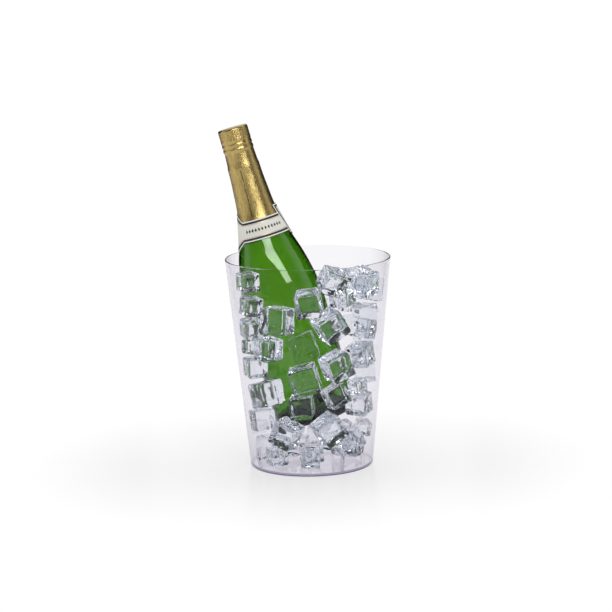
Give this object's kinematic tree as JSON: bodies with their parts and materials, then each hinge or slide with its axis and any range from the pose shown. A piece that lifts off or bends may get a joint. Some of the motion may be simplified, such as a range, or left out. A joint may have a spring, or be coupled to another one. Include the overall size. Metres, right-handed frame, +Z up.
{
  "type": "champagne bucket",
  "caption": "Clear plastic tapered ice bucket filled with ice cubes, with a foil-capped sparkling wine bottle leaning in it.",
  "frame": {"origin": "centre of the bucket's flat underside, on the surface it stands on", "axes": "+Z up along the bucket's axis, -Y towards a person in front of it, +X to their right; the bottle leans to -X"},
  "size_m": [0.1765, 0.172, 0.3563],
  "materials": {
    "clear_plastic": "clear injection-moulded plastic with a faint lavender tint, polished",
    "clear_ice": "clear ice, wet",
    "green_glass": "green bottle glass, polished",
    "wine": "pale sparkling wine, clear liquid",
    "cork": "agglomerated cork",
    "cage_wire": "drawn wire",
    "plaque": "stamped and lacquered gold",
    "gold_foil": "crinkled gold foil",
    "neck_paper": "coated cream paper with black and gold border lines",
    "body_paper": "coated cream paper with black and gold border lines"
  },
  "bodies": {
    "bucket": {"bucket": "clear_plastic", "ice_centre": "clear_ice", "ice_cube_01": "clear_ice", "ice_cube_02": "clear_ice", "ice_cube_03": "clear_ice", "ice_cube_04": "clear_ice", "ice_cube_05": "clear_ice", "ice_cube_06": "clear_ice", "ice_cube_07": "clear_ice", "ice_cube_08": "clear_ice", "ice_cube_09": "clear_ice", "ice_cube_10": "clear_ice", "ice_cube_11": "clear_ice", "ice_cube_12": "clear_ice", "ice_cube_13": "clear_ice", "ice_cube_14": "clear_ice", "ice_cube_15": "clear_ice", "ice_cube_16": "clear_ice", "ice_cube_17": "clear_ice", "ice_cube_18": "clear_ice", "ice_cube_19": "clear_ice", "ice_cube_20": "clear_ice", "ice_dark_right": "clear_ice", "ice_foot_middle": "clear_ice", "ice_left_bottom": "clear_ice", "ice_left_edge": "clear_ice", "ice_left_middle": "clear_ice", "ice_left_upper": "clear_ice", "ice_low_left": "clear_ice", "ice_low_right": "clear_ice", "ice_lower_middle": "clear_ice", "ice_middle": "clear_ice", "ice_middle_left": "clear_ice", "ice_right_edge": "clear_ice", "ice_right_flank": "clear_ice", "ice_right_middle": "clear_ice", "ice_right_of_centre": "clear_ice", "ice_right_shoulder": "clear_ice", "ice_right_upper": "clear_ice", "ice_tilted_left": "clear_ice", "ice_top_left": "clear_ice", "ice_wide": "clear_ice", "ice_worn": "clear_ice"},
    "bottle": {"bottle_glass": "green_glass", "wine": "wine", "cork": "cork", "muselet": "cage_wire", "muselet_cap": "plaque", "foil_capsule": "gold_foil", "neck_label": "neck_paper", "body_label": "body_paper"},
    "loose_ice_back": {"ice_loose_back": "clear_ice"},
    "loose_ice_front": {"ice_loose_front": "clear_ice"},
    "loose_ice_rear": {"ice_loose_rear": "clear_ice"},
    "loose_ice_right": {"ice_loose_right": "clear_ice"},
    "loose_ice_side": {"ice_loose_side": "clear_ice"}
  },
  "joints": [
    {"name": "bottle_lift", "type": "slide", "parent": "bucket", "child": "bottle", "axis": [-0.1562, -0.0523, 0.9863], "range_m": [0, 0.21]},
    {"name": "lift_ice_loose_back", "type": "slide", "parent": "bucket", "child": "loose_ice_back", "axis": [0, 0, 1], "range_m": [0, 0.07]},
    {"name": "lift_ice_loose_front", "type": "slide", "parent": "bucket", "child": "loose_ice_front", "axis": [0, 0, 1], "range_m": [0, 0.07]},
    {"name": "lift_ice_loose_rear", "type": "slide", "parent": "bucket", "child": "loose_ice_rear", "axis": [0, 0, 1], "range_m": [0, 0.07]},
    {"name": "lift_ice_loose_right", "type": "slide", "parent": "bucket", "child": "loose_ice_right", "axis": [0, 0, 1], "range_m": [0, 0.07]},
    {"name": "lift_ice_loose_side", "type": "slide", "parent": "bucket", "child": "loose_ice_side", "axis": [0, 0, 1], "range_m": [0, 0.07]}
  ]
}
